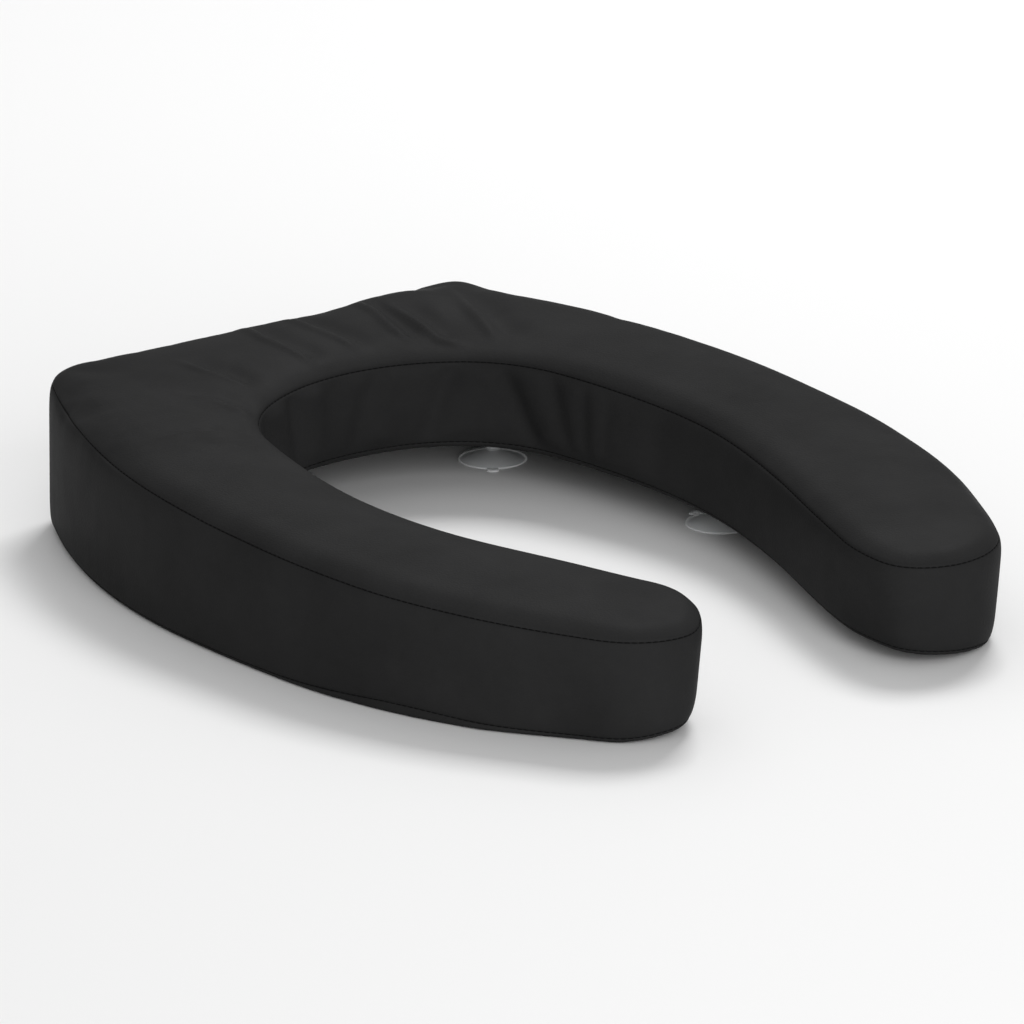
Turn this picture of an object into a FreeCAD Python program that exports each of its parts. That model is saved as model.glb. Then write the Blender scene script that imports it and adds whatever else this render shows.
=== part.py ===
import FreeCAD, Part
import math
import os

# Raised toilet seat cushion: an open-front wedge of foam in a sewn, wipe-clean cover.
#
# The cushion lies on a toilet seat. +X is the right arm, -Y the open front, +Y the straight
# rear edge and +Z up. The origin is at the bottom centre of the whole object. The cover is
# sewn from a top panel, a boxing band, two rear strips with a zip between them and a bottom
# panel. Inside are two layers of foam, and four clear suction cups hang below. All sizes are
# in millimetres.

Vector = FreeCAD.Vector

# ---- driving dimensions: the cushion ------------------------------------------------------
REAR_Y = 230.1                # outer face of the straight rear wall
LENGTH = 464.5                # rear wall to arm tips
FRONT_THICKNESS = 51.5        # about 2 in at the arm tips
REAR_THICKNESS = 78.0         # about 3 in at the rear wall
INNER_BAND = 46.0             # height of the wall round the opening
REST_RIM = 12.0               # width of the flat rim that the cushion rests on
CLOTH = 1.2                   # coated cover fabric
GAP = 0.3                     # air between the cover and the foam
FOAM_SPLIT = 24.0             # depth of the joint between the two foams, below the top
THREAD = 0.9                  # height of the sunk seam thread, as deep as the cloth

# Plan of the right half, measured from the rear wall, going round to the arm tip and back
# along the opening. Each stretch is an arc that carries on in the direction of the last one.
OUTER_POINTS = [
    (0, 0), (108, 0), (138, -18), (167, -85), (187, -195), (186, -275), (169, -360),
    (150.3, -402.2), (126.3, -443.6),
]
TIP_POINTS = [(126.3, -443.6), (84.5, -464.4), (56.5, -440.3)]
INNER_POINTS = [
    (56.5, -440.3), (57.6, -407.8), (79.6, -345), (99, -280), (104, -215), (92, -143),
    (60, -101.2), (31.1, -89.1), (0, -85),
]

# ---- driving dimensions: the zip ----------------------------------------------------------
ZIP_Z = 38.0                  # height of the zip's centre line
ZIP_HALF = 104.0              # half the length of the tapes
ZIP_SLOT = 5.6                # half the height of the slot between the rear strips
TAPE_WIDTH = 15.0
TAPE_THICK = 0.6
TAPE_CLEAR = 0.1              # between the tapes and the rear strips
TOOTH_PITCH = 2.8
TOOTH_WIDTH = 1.5
TOOTH_THICK = 2.4
TOOTH_TIP = 0.65              # from the centre line to the tips of the teeth
TOOTH_ROOT = 3.1              # from the centre line to the edge of the tape
CORD_EDGE = 1.6               # from the centre line to the cord that carries the teeth
CORD_THICK = 1.2
CHAIN_HALF = 98.0             # half the length of the rows of teeth
STOP_START = 99.5
STOP_LENGTH = 3.0
STOP_TIP = 0.4

SLIDER_X = 93.0               # where the slider is parked when the cover is shut
SLIDER_LENGTH = 9.0
SLIDER_HALF = 4.7             # half the height of the slider's plates
PLATE = 0.9
PLATE_ROUND = 2.0
SLIDER_PLAY = 0.25            # between the plates and the teeth
FLANGE_DEPTH = 0.8
NECK_LENGTH = 2.0
NECK_HALF = 0.4
BAR_RADIUS = 0.8
BAR_CLEAR = 0.4               # between the pull's knuckle and the slider's plate
POST_START = 3.0
POST_WIDTH = 1.1
POST_HALF = 1.0

KNUCKLE_RADIUS = 1.6
KNUCKLE_BORE = 0.88
KNUCKLE_HALF = 2.6
PULL_THICK = 1.4
PULL_NECK_END = 3.2
PULL_LENGTH = 26.0
PULL_WIDTH = 8.0
PULL_ROUND = 1.5
PULL_HOLE = 2.0
PULL_HOLE_AT = 21.5

POCKET_DEPTH = 5.3            # room in the foam behind the zip
POCKET_HALF = 19.0
POCKET_MARGIN = 3.0

# ---- driving dimensions: the suction cups -------------------------------------------------
CUP_PLACES = {                # centre in plan, measured from the rear wall, and tab heading
    "side": ((136.0, -222.0), 90.0),
    "rear": ((112.0, -64.0), 232.0),
}
CUP_RADIUS = 18.0
CUP_RIM = 0.8
CUP_RIM_WIDTH = 1.0
CUP_HOLLOW = 3.4
CUP_BELL_MIDDLE = 3.6         # height of the bell's outside, halfway up its flank
CUP_SHOULDER = 5.6
CUP_SHOULDER_RADIUS = 4.2
CUP_TAB_LENGTH = 5.0
CUP_TAB_HALF = 3.0
CUP_TAB_ROUND = 2.4
STEM_RADIUS = 3.4
HEAD_RADIUS = 5.5
HEAD_HEIGHT = 2.6
EYELET_HOLE = 3.8
EYELET_BARREL = 4.4
EYELET_FLANGE = 7.5
EYELET_THICK = 0.5
HEAD_CLEAR = 1.9              # lifts a level head clear of the sloping eyelet
FOAM_HOLE = 8.4
FOAM_HOLE_CLEAR = 0.8

SLOPE = (REAR_THICKNESS - FRONT_THICKNESS) / LENGTH
FRONT_Y = REAR_Y - LENGTH
ZIP_Y = REAR_Y - CLOTH - TAPE_CLEAR - TAPE_THICK / 2
BAR_Y = ZIP_Y + TOOTH_THICK / 2 + SLIDER_PLAY + PLATE + BAR_CLEAR + KNUCKLE_RADIUS
FAR = 400.0                   # well outside the object
FLOOR = -FAR / 4           # level below the object that tall cutting shapes start from
HOLLOW_REACH = 60.0           # how far the hollow is carried past the arm tips
HOLLOW_OVERRUN = 3.0          # how far it is carried past the inner wall
HOLLOW_RISE = 1.0             # what its roof rises by over that overrun


# ---- the plan outline ---------------------------------------------------------------------
def tangent_arcs(points, heading):
    """Arcs through the points, each carrying on from the last, and the final heading.

    An arc is its start, middle and end, each with the unit normal that points out of the
    cushion.
    """
    arcs = []
    for start, end in zip(points, points[1:]):
        dx = end[0] - start[0]
        dy = end[1] - start[1]
        chord = math.hypot(dx, dy)
        half_turn = math.atan2(dy, dx) - heading
        half_turn = (half_turn + math.pi) % (2 * math.pi) - math.pi
        rise = chord / 2 * math.tan(half_turn / 2)
        middle_x = (start[0] + end[0]) / 2 + rise * dy / chord
        middle_y = (start[1] + end[1]) / 2 - rise * dx / chord
        knots = []
        for step, place in enumerate((start, (middle_x, middle_y), end)):
            angle = heading + step * half_turn
            knots.append((place, (-math.sin(angle), math.cos(angle))))
        arcs.append(knots)
        heading += 2 * half_turn
    return arcs, heading


OUTER_ARCS, tip_heading = tangent_arcs(OUTER_POINTS, 0.0)
TIP_ARCS, inner_heading = tangent_arcs(TIP_POINTS, tip_heading)
INNER_ARCS = tangent_arcs(INNER_POINTS, inner_heading)[0]
INNER_ARCS[-1][-1] = (INNER_POINTS[-1], (0.0, -1.0))   # square to the centre line


def place_knots(knots, inset, height_of, side):
    """The three points of an arc, moved into the cushion by inset, on one side of it."""
    places = []
    for (x, y), (nx, ny) in knots:
        py = REAR_Y + y - ny * inset
        places.append(Vector(side * (x - nx * inset), py, height_of(py)))
    if side < 0:
        places.reverse()
    return places


def arc_edge(places):
    first, middle, last = places
    straight = last - first
    if (middle - first).cross(straight).Length < 1e-4 * straight.Length:
        return Part.makeLine(first, last)
    return Part.Arc(first, middle, last).toShape()


def joined_wire(edges):
    """One closed wire of the edges in order, with a line across any small step."""
    chain = []
    for index, edge in enumerate(edges):
        chain.append(edge)
        following = edges[(index + 1) % len(edges)]
        end = edge.valueAt(edge.LastParameter)
        start = following.valueAt(following.FirstParameter)
        if (end - start).Length > 1e-4:
            chain.append(Part.makeLine(end, start))
    return Part.Wire(chain)


def outline(inset, z):
    """The closed plan of both arms, moved into the cushion by inset, at height z."""
    arcs = OUTER_ARCS + TIP_ARCS + INNER_ARCS
    edges = [arc_edge(place_knots(knots, inset, lambda y: z, 1)) for knots in arcs]
    edges += [arc_edge(place_knots(knots, inset, lambda y: z, -1)) for knots in arcs[::-1]]
    return joined_wire(edges)


def prism(inset):
    """The plan as a tall solid."""
    face = Part.Face(outline(inset, FLOOR))
    return face.extrude(Vector(0, 0, FAR))


def box(x0, x1, y0, y1, z0, z1):
    return Part.makeBox(x1 - x0, y1 - y0, z1 - z0, Vector(x0, y0, z0))


def upright(radius, x, y, z0, z1):
    return Part.makeCylinder(radius, z1 - z0, Vector(x, y, z0))


# ---- the sloping top and the hollowed underside -------------------------------------------
def top_height(y):
    return FRONT_THICKNESS + SLOPE * (y - FRONT_Y)


def above_top(depth):
    """Everything above the sloping top, once the top is lowered by depth."""
    low = Vector(-FAR, -FAR, top_height(-FAR) - depth)
    high = Vector(-FAR, FAR, top_height(FAR) - depth)
    lift = Vector(0, 0, FAR)
    face = Part.Face(Part.makePolygon([low, high, high + lift, low + lift, low]))
    return face.extrude(Vector(2 * FAR, 0, 0))


def mirrored(point):
    return Vector(-point.x, point.y, point.z)


def smooth_edge(places):
    curve = Part.BSplineCurve()
    curve.interpolate(places)
    return curve.toShape()


def hollow_loop(arcs, inset, height_of):
    """A closed wire down one side of both arms and straight on, out past the open front."""
    stretches = [place_knots(knots, inset, height_of, 1) for knots in arcs]
    stretches[0][0].x = 0
    end = stretches[-1][-1]
    front_y = FRONT_Y - HOLLOW_REACH
    front = Vector(end.x, front_y, height_of(front_y))
    edges = [smooth_edge(places) for places in stretches]
    for start, finish in ((end, front), (front, mirrored(front)), (mirrored(front), mirrored(end))):
        edges.append(Part.makeLine(start, finish))
    for places in reversed(stretches):
        edges.append(smooth_edge([mirrored(place) for place in reversed(places)]))
    return Part.Wire(edges)


def make_hollow():
    """The space under the cushion: from the flat rim up to the foot of the inner wall.

    It carries on straight down below the rim, so that it can be raised to cut inner layers.
    """

    def roof_height(y):
        return top_height(y) - INNER_BAND + HOLLOW_RISE

    rear_to_tip = [knots[::-1] for knots in reversed(INNER_ARCS)]
    roof = hollow_loop(rear_to_tip, -HOLLOW_OVERRUN, roof_height)
    rim = hollow_loop(OUTER_ARCS, REST_RIM, lambda y: 0.0)
    base = rim.translated(Vector(0, 0, FLOOR))
    return Part.makeLoft([base, rim, roof], True, True)


HOLLOW = make_hollow()


def under(lift):
    """Everything below the underside, once the underside is raised by lift."""
    hollow = HOLLOW.translated(Vector(0, 0, lift))
    return box(-FAR, FAR, -FAR, FAR, FLOOR, lift).fuse(hollow)


def underside_height(x, y):
    """Height of the outer face of the bottom panel above the seat."""
    line = Part.makeLine(Vector(x, y, FLOOR / 2), Vector(x, y, -FLOOR))
    return HOLLOW.common(line).BoundBox.ZMax


# ---- cover --------------------------------------------------------------------------------
def wall_ring():
    """The upright skin of the cushion, over its full height."""
    return prism(0).cut(prism(CLOTH))


def make_seam_thread_top():
    """Thread sunk in the join of top panel and band, all the way round."""
    lower = above_top(CLOTH + THREAD / 2)
    upper = above_top(CLOTH - THREAD / 2)
    return wall_ring().common(lower).cut(upper)


def make_seam_thread_bottom():
    upper = under(CLOTH + THREAD / 2)
    lower = under(CLOTH - THREAD / 2)
    return wall_ring().common(upper).cut(lower)


def make_top_panel(thread):
    return prism(0).common(above_top(CLOTH)).cut(above_top(0)).cut(thread)


def make_bottom_panel(thread):
    panel = prism(0).common(under(CLOTH)).cut(under(0)).cut(thread)
    for x, y, _ in cup_places():
        panel = panel.cut(upright(EYELET_BARREL, x, y, FLOOR, -FLOOR))
    return panel


def make_wall():
    """The upright wall of the cover, between the two seams, before it is divided at the zip."""
    seam = CLOTH + THREAD / 2
    return wall_ring().cut(above_top(seam)).cut(under(seam))


def rear_window(z0, z1):
    depth = REAR_Y - CLOTH - GAP
    return box(-ZIP_HALF, ZIP_HALF, depth, REAR_Y + CLOTH, z0, z1)


def make_side_band(wall):
    """The band that runs from one end of the zip round both arms to the other end."""
    return wall.cut(rear_window(FLOOR, -FLOOR))


def make_rear_strip_upper(wall):
    return wall.common(rear_window(ZIP_Z + ZIP_SLOT, -FLOOR))


def make_rear_strip_lower(wall):
    return wall.common(rear_window(FLOOR, ZIP_Z - ZIP_SLOT))


# ---- zip ----------------------------------------------------------------------------------
def zip_box(x0, x1, thick, z0, z1, side):
    """A block centred on the plane of the tapes, above (+1) or below (-1) the centre line."""
    low = ZIP_Z + min(side * z0, side * z1)
    high = ZIP_Z + max(side * z0, side * z1)
    return box(x0, x1, ZIP_Y - thick / 2, ZIP_Y + thick / 2, low, high)


def make_zip_tape(side):
    return zip_box(-ZIP_HALF, ZIP_HALF, TAPE_THICK, TOOTH_ROOT, TOOTH_ROOT + TAPE_WIDTH, side)


def make_zip_teeth(side):
    """A row of moulded teeth on a cord; the two rows are half a pitch out of step."""
    row = zip_box(-CHAIN_HALF, CHAIN_HALF, CORD_THICK, CORD_EDGE, TOOTH_ROOT, side)
    count = int(2 * CHAIN_HALF / TOOTH_PITCH) - 1
    start = -CHAIN_HALF + (TOOTH_PITCH / 2 if side > 0 else 0)
    teeth = []
    for index in range(count):
        x = start + index * TOOTH_PITCH
        teeth.append(zip_box(x, x + TOOTH_WIDTH, TOOTH_THICK, TOOTH_TIP, TOOTH_ROOT, side))
    return row.multiFuse(teeth)


def make_zip_end_stops():
    """Two top stops at the shut end and one bottom stop across both tapes."""
    shut = [
        zip_box(STOP_START, STOP_START + STOP_LENGTH, TOOTH_THICK, STOP_TIP, TOOTH_ROOT, side)
        for side in (1, -1)
    ]
    bottom = zip_box(
        -STOP_START - STOP_LENGTH, -STOP_START, TOOTH_THICK, -TOOTH_ROOT, TOOTH_ROOT, 1
    )
    return Part.makeCompound(shut + [bottom])


def make_zip_slider():
    """Two plates held apart by a neck, flanges along their edges, and a bar for the pull."""
    x0 = SLIDER_X - SLIDER_LENGTH / 2
    x1 = SLIDER_X + SLIDER_LENGTH / 2
    inside = TOOTH_THICK / 2 + SLIDER_PLAY
    outside = inside + PLATE
    pieces = []
    for face in (1, -1):
        near, far = sorted((ZIP_Y + face * inside, ZIP_Y + face * outside))
        plate = box(x0, x1, near, far, ZIP_Z - SLIDER_HALF, ZIP_Z + SLIDER_HALF)
        corners = [edge for edge in plate.Edges if edge.BoundBox.YLength > PLATE / 2]
        pieces.append(plate.makeFillet(PLATE_ROUND, corners))
        near, far = sorted((ZIP_Y + face * (inside - FLANGE_DEPTH), ZIP_Y + face * inside))
        for side in (1, -1):
            low, high = sorted((side * (SLIDER_HALF - FLANGE_DEPTH), side * SLIDER_HALF))
            pieces.append(
                box(x0 + PLATE_ROUND, x1 - PLATE_ROUND, near, far, ZIP_Z + low, ZIP_Z + high)
            )
    pieces.append(
        box(x1 - NECK_LENGTH, x1, ZIP_Y - outside, ZIP_Y + outside,
            ZIP_Z - NECK_HALF, ZIP_Z + NECK_HALF)
    )
    for side in (1, -1):
        low, high = sorted((side * POST_START, side * (POST_START + POST_WIDTH)))
        pieces.append(
            box(SLIDER_X + low, SLIDER_X + high, ZIP_Y + inside, BAR_Y + BAR_RADIUS,
                ZIP_Z - POST_HALF, ZIP_Z + POST_HALF)
        )
    length = 2 * (POST_START + POST_WIDTH / 2)
    bar_end = Vector(SLIDER_X - length / 2, BAR_Y, ZIP_Z)
    bar = Part.makeCylinder(BAR_RADIUS, length, bar_end, Vector(1, 0, 0))
    return bar.multiFuse(pieces)


def make_zip_pull():
    """A flat tab that hangs from the slider's bar."""
    start = Vector(SLIDER_X - KNUCKLE_HALF, BAR_Y, ZIP_Z)
    along = Vector(1, 0, 0)
    knuckle = Part.makeCylinder(KNUCKLE_RADIUS, 2 * KNUCKLE_HALF, start, along)
    y0 = BAR_Y - PULL_THICK / 2
    y1 = BAR_Y + PULL_THICK / 2
    neck = box(SLIDER_X - KNUCKLE_HALF, SLIDER_X + KNUCKLE_HALF, y0, y1,
               ZIP_Z - PULL_NECK_END, ZIP_Z)
    tab = box(SLIDER_X - PULL_WIDTH / 2, SLIDER_X + PULL_WIDTH / 2, y0, y1,
              ZIP_Z - PULL_LENGTH, ZIP_Z - PULL_NECK_END)
    corners = [edge for edge in tab.Edges if edge.BoundBox.YLength > PULL_THICK / 2]
    tab = tab.makeFillet(PULL_ROUND, corners)
    pull = knuckle.multiFuse([neck, tab])
    bore = Part.makeCylinder(KNUCKLE_BORE, 4 * KNUCKLE_HALF, start - along, along)
    hole_start = Vector(SLIDER_X, y0 - 1, ZIP_Z - PULL_HOLE_AT)
    hole = Part.makeCylinder(PULL_HOLE, PULL_THICK + 2, hole_start, Vector(0, 1, 0))
    return pull.cut(bore).cut(hole)


# ---- suction cups -------------------------------------------------------------------------
def cup_places():
    """Centre and tab heading of all four cups: both side ones, then both rear ones."""
    places = []
    for (x, y), heading in CUP_PLACES.values():
        places.append((x, REAR_Y + y, heading))
        places.append((-x, REAR_Y + y, 180 - heading))
    return places


def cap_arc(radius, foot, height):
    """A round cap in profile, from its rim at the given foot level to its top on the axis."""
    sphere = (radius ** 2 + height ** 2) / (2 * height)
    half_angle = math.asin(radius / sphere) / 2
    centre = foot + height - sphere
    places = [
        Vector(radius, 0, foot),
        Vector(sphere * math.sin(half_angle), 0, centre + sphere * math.cos(half_angle)),
        Vector(0, 0, foot + height),
    ]
    return Part.Arc(*places).toShape()


def head_height(x, y):
    """Height of the underside of a cup's mushroom head, above the eyelet."""
    return underside_height(x, y) + CLOTH + EYELET_THICK + HEAD_CLEAR


def make_suction_cup(x, y, heading):
    """A shallow clear bell with a flat rim, a tab, a stem and a mushroom head."""
    head = head_height(x, y)
    rim_inner = CUP_RADIUS - CUP_RIM_WIDTH
    bell_middle = (CUP_RADIUS + CUP_SHOULDER_RADIUS) / 2
    shoulder_top = CUP_SHOULDER + CUP_RIM

    def spot(radius, height):
        return Vector(radius, 0, height)

    bell_side = Part.Arc(
        spot(CUP_RADIUS, CUP_RIM), spot(bell_middle, CUP_BELL_MIDDLE),
        spot(CUP_SHOULDER_RADIUS, CUP_SHOULDER),
    )
    edges = [
        cap_arc(rim_inner, 0, CUP_HOLLOW),
        Part.makeLine(spot(rim_inner, 0), spot(CUP_RADIUS, 0)),
        Part.makeLine(spot(CUP_RADIUS, 0), spot(CUP_RADIUS, CUP_RIM)),
        bell_side.toShape(),
        Part.makeLine(spot(CUP_SHOULDER_RADIUS, CUP_SHOULDER), spot(STEM_RADIUS, shoulder_top)),
        Part.makeLine(spot(STEM_RADIUS, shoulder_top), spot(STEM_RADIUS, head)),
        Part.makeLine(spot(STEM_RADIUS, head), spot(HEAD_RADIUS, head)),
        cap_arc(HEAD_RADIUS, head, HEAD_HEIGHT),
        Part.makeLine(spot(0, head + HEAD_HEIGHT), spot(0, CUP_HOLLOW)),
    ]
    profile = Part.Wire(Part.__sortEdges__(edges))
    bell = Part.Face(profile).revolve(Vector(0, 0, 0), Vector(0, 0, 1), 360)
    tab = box(CUP_RADIUS - CUP_RIM_WIDTH / 2, CUP_RADIUS + CUP_TAB_LENGTH,
              -CUP_TAB_HALF, CUP_TAB_HALF, 0, CUP_RIM)
    outer_edges = [
        edge for edge in tab.Edges
        if edge.BoundBox.ZLength > CUP_RIM / 2 and edge.BoundBox.XMin > CUP_RADIUS
    ]
    tab = tab.makeFillet(CUP_TAB_ROUND, outer_edges)
    cup = bell.fuse(tab)
    cup.rotate(Vector(0, 0, 0), Vector(0, 0, 1), heading)
    cup.translate(Vector(x, y, 0))
    return cup


def make_cup_eyelets():
    """A ring crimped through the bottom panel round each stem."""
    eyelets = []
    top = under(CLOTH + EYELET_THICK)
    bottom = under(-EYELET_THICK)
    for x, y, _ in cup_places():
        flange = upright(EYELET_FLANGE, x, y, FLOOR, -FLOOR)
        barrel = upright(EYELET_BARREL, x, y, FLOOR, -FLOOR)
        hole = upright(EYELET_HOLE, x, y, FLOOR, -FLOOR)
        upper_flange = flange.common(top).cut(under(CLOTH))
        lower_flange = flange.common(under(0)).cut(bottom)
        ring = barrel.common(top).cut(bottom).fuse(upper_flange).fuse(lower_flange)
        eyelets.append(ring.cut(hole))
    return Part.makeCompound(eyelets)


# ---- foam ---------------------------------------------------------------------------------
def make_foam():
    """The whole foam core, with room for the zip and for the heads of the cups."""
    inset = CLOTH + GAP
    core = prism(inset).cut(above_top(inset)).cut(under(inset))
    half = ZIP_HALF + POCKET_MARGIN
    core = core.cut(
        box(-half, half, REAR_Y - POCKET_DEPTH, REAR_Y, ZIP_Z - POCKET_HALF, ZIP_Z + POCKET_HALF)
    )
    for x, y, _ in cup_places():
        top = head_height(x, y) + HEAD_HEIGHT + FOAM_HOLE_CLEAR
        core = core.cut(upright(FOAM_HOLE, x, y, FLOOR, top))
    return core


def make_foam_top_layer(core):
    return core.common(above_top(FOAM_SPLIT))


def make_foam_base(core):
    return core.cut(above_top(FOAM_SPLIT))


# ---- everything ---------------------------------------------------------------------------
def make_nodes():
    thread_top = make_seam_thread_top()
    thread_bottom = make_seam_thread_bottom()
    wall = make_wall()
    core = make_foam()
    nodes = {
        "top_panel": make_top_panel(thread_top),
        "side_band": make_side_band(wall),
        "rear_strip_upper": make_rear_strip_upper(wall),
        "rear_strip_lower": make_rear_strip_lower(wall),
        "bottom_panel": make_bottom_panel(thread_bottom),
        "seam_thread_top": thread_top,
        "seam_thread_bottom": thread_bottom,
        "foam_top_layer": make_foam_top_layer(core),
        "foam_base": make_foam_base(core),
        "zip_tape_upper": make_zip_tape(1),
        "zip_tape_lower": make_zip_tape(-1),
        "zip_teeth_upper": make_zip_teeth(1),
        "zip_teeth_lower": make_zip_teeth(-1),
        "zip_end_stops": make_zip_end_stops(),
        "zip_slider": make_zip_slider(),
        "zip_pull": make_zip_pull(),
        "cup_eyelets": make_cup_eyelets(),
    }
    names = ["side_right", "side_left", "rear_right", "rear_left"]
    for name, (x, y, heading) in zip(names, cup_places()):
        nodes["suction_cup_" + name] = make_suction_cup(x, y, heading)
    return nodes


def main():
    os.makedirs("parts", exist_ok=True)
    for name, shape in make_nodes().items():
        shape = shape.removeSplitter()
        size = shape.BoundBox
        print(
            name, "solids", len(shape.Solids), "valid", shape.isValid(),
            "volume %.1f" % shape.Volume,
            "x %.1f %.1f y %.1f %.1f z %.2f %.2f"
            % (size.XMin, size.XMax, size.YMin, size.YMax, size.ZMin, size.ZMax),
        )
        shape.exportStep("parts/" + name + ".step")


main()
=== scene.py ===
import math

import bmesh
import bpy
import numpy as np
from mathutils import Matrix, Vector, geometry
from mathutils.bvhtree import BVHTree


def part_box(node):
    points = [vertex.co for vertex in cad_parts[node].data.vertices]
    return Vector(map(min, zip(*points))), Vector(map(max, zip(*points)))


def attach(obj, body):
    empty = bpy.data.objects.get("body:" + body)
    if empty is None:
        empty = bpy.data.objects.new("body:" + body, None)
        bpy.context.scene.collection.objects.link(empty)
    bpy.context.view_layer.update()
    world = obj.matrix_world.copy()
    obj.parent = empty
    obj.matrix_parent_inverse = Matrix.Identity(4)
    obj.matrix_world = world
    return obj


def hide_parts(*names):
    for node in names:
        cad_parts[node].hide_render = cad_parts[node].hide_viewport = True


# The looks of a raised toilet seat cushion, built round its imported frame. Everything is in
# metres. The cover's panels are cut from one closed skin: the skin is laid over the frame,
# swollen by a short cloth simulation, and then parted at its seams and creased.

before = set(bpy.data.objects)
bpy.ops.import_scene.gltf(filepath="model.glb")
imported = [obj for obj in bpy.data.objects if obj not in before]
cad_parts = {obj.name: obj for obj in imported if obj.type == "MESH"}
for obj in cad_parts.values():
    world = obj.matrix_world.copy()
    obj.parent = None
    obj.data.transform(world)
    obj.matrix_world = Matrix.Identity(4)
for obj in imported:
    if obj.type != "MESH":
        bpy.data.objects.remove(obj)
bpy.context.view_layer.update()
MM = 0.001

# ---- the view -----------------------------------------------------------------------------
CAMERA_AZIMUTH = math.radians(-38.28)
CAMERA_ELEVATION = math.radians(18.15)
CAMERA_ROLL = math.radians(-0.17)
CAMERA_DISTANCE = 4.0185
CAMERA_AIM = Vector((0.0016, 0.0099, 0.0332))
CAMERA_LENS = 282.1

# ---- the skin -----------------------------------------------------------------------------
SKIN_STEP = 3.6 * MM                            # spacing of points along the seams
GRID_STEP = 4.2 * MM                            # spacing of points inside the panels
EDGE_ROWS = [0.8 * MM, 2.4 * MM, 4.6 * MM, 7.4 * MM, 10.6 * MM, 14.4 * MM]   # beside a seam
WALL_ROWS = [0.8 * MM, 2.4 * MM, 4.8 * MM]
SLOT_STEPS = 60                                 # points along the zip's slot
ROWS_BELOW_SLOT = 4
ROWS_IN_SLOT = 2
ROWS_ABOVE_SLOT = 5
CROWN_WIDTH = 11.0 * MM                         # the top rolls over to the seam
CROWN_HEIGHT = 4.8 * MM
CROWN_SWELL = 1.0 * MM                          # and rises a little more to its middle
SWELL_WIDTH = 45.0 * MM
FOOT_WIDTH = 3.6 * MM                           # the bottom panel's roll up to its seam
FOOT_HEIGHT = 2.2 * MM
FOOT_SAG = 3.0 * MM                             # its seam rides up where the panel sags most
FOOT_SAG_PLACE = (-172, -351)
FOOT_SAG_REACH = 45.0
FOOT_BULGE = 1.8 * MM
WALL_BULGE = 1.0 * MM
WALL_INSET = 0.5 * MM                            # the wall pulls in at its seams
WALL_SHOULDER = 9.0 * MM
CLOTH_THICKNESS = 1.0 * MM
SEAM_DEPTH = 0.6 * MM

# ---- cloth simulation ---------------------------------------------------------------------
CLOTH_FRAMES = 16
CLOTH_PRESSURE = 4.0
CLOTH_CAP = 4.0 * MM
HELD_MASS = 0.4                                 # weight in the group that lies on the floor
SMOOTHING_ARMS = 50                             # rounds of smoothing of the cloth's movement
SMOOTHING_REAR = 3
REAR_START = 170                                # where the arms' smoothing gives way, in mm
REAR_REACH = 90                                 # from the rear edge, and over what distance

# ---- shaping, in plan millimetres with y measured from the rear edge ----------------------
TIP_TAPER = 4.5                                 # the wall leans in to the foot of the tips
TIP_TAPER_START = -385
TIP_TAPER_REACH = 60.0
TIP_TAPER_DEPTH = 30.0 * MM                     # how far in from the edge the taper is felt
# Pushes at the arm tips: place, reach, and move in x and y.
TIP_PUSHES = [
    ((-62, -455), 20.0, (-3.4, 2.0)), ((56, -452), 20.0, (-3.0, -1.0)),
    ((130, -425), 62.0, (4.2, 0.5)),
]
# Raised puffs of the top, and one hollow: place, reach, height.
TOP_PUFFS = [
    ((128, -18), 12.0, 1.4), ((76, -12), 36.0, 1.9), ((-10, -10), 50.0, 1.9),
    ((176, -250), 60.0, 0.9), ((146, -360), 55.0, 1.2), ((100, -430), 40.0, 0.6),
    ((-66, -430), 24.0, 1.8), ((-92, -260), 70.0, -2.2), ((38, -40), 12.0, 0.9),
    ((84, -52), 11.0, 0.9), ((-46, -44), 14.0, 0.7), ((-92, -62), 14.0, 0.6),
]

# Creases in the top, from the opening outwards: points, half width, height before FOLD_DEPTH.
FOLD_DEPTH = 2.0
FOLD_CREST = 0.8                                # share of the height in the crest
FOLD_TROUGH = 0.85                              # and in the trough beside it
TROUGH_OFFSET = 2.6                             # its distance and its width, in half widths
TROUGH_WIDTH = 2.3
FOLD_EDGE = 9.0 * MM                            # the creases die out this near to a seam
FOLD_REAR_START = 13                            # and from here on to the rear edge, in mm
FOLD_REAR_REACH = 18
TOP_FOLDS = [
    ([(-14, -81), (-18, -64), (-21, -43), (-18, -12)], 3.2, 1.3),
    ([(17, -78), (10, -46), (7, -14)], 3.2, 1.3),
    ([(46, -83), (46, -66), (52, -42), (55, -12)], 3.4, 1.6),
    ([(72, -98), (61, -84), (64, -60), (69, -20)], 3.4, 1.6),
    ([(86, -104), (98, -66), (112, -24)], 3.8, 1.4),
    ([(-62, -92), (-74, -65), (-77, -38)], 3.2, 1.0),
    ([(-82, -118), (-90, -96), (-107, -84)], 3.2, 1.0),
    ([(-112, -140), (-133, -133), (-153, -129)], 3.4, 0.8),
    ([(-108, -160), (-128, -156), (-148, -156)], 4.5, 0.5),
]
# Creases in the wall round the opening: distance along the seam from its rear middle at the
# top and at the bottom, half width, depth (mm).
WALL_FOLDS = [
    (-74, -70, 6.0, 1.6), (-42, -31, 6.0, 2.6), (-8, -14, 8.0, 2.0), (20, 4, 7.0, 2.8),
    (62, 47, 6.5, 3.3), (87, 107, 6.5, 3.3), (115, 130, 6.0, 2.4), (137, 141, 5.0, 1.8),
    (155, 152, 5.0, 1.2), (190, 186, 9.0, 1.0),
]


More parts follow.
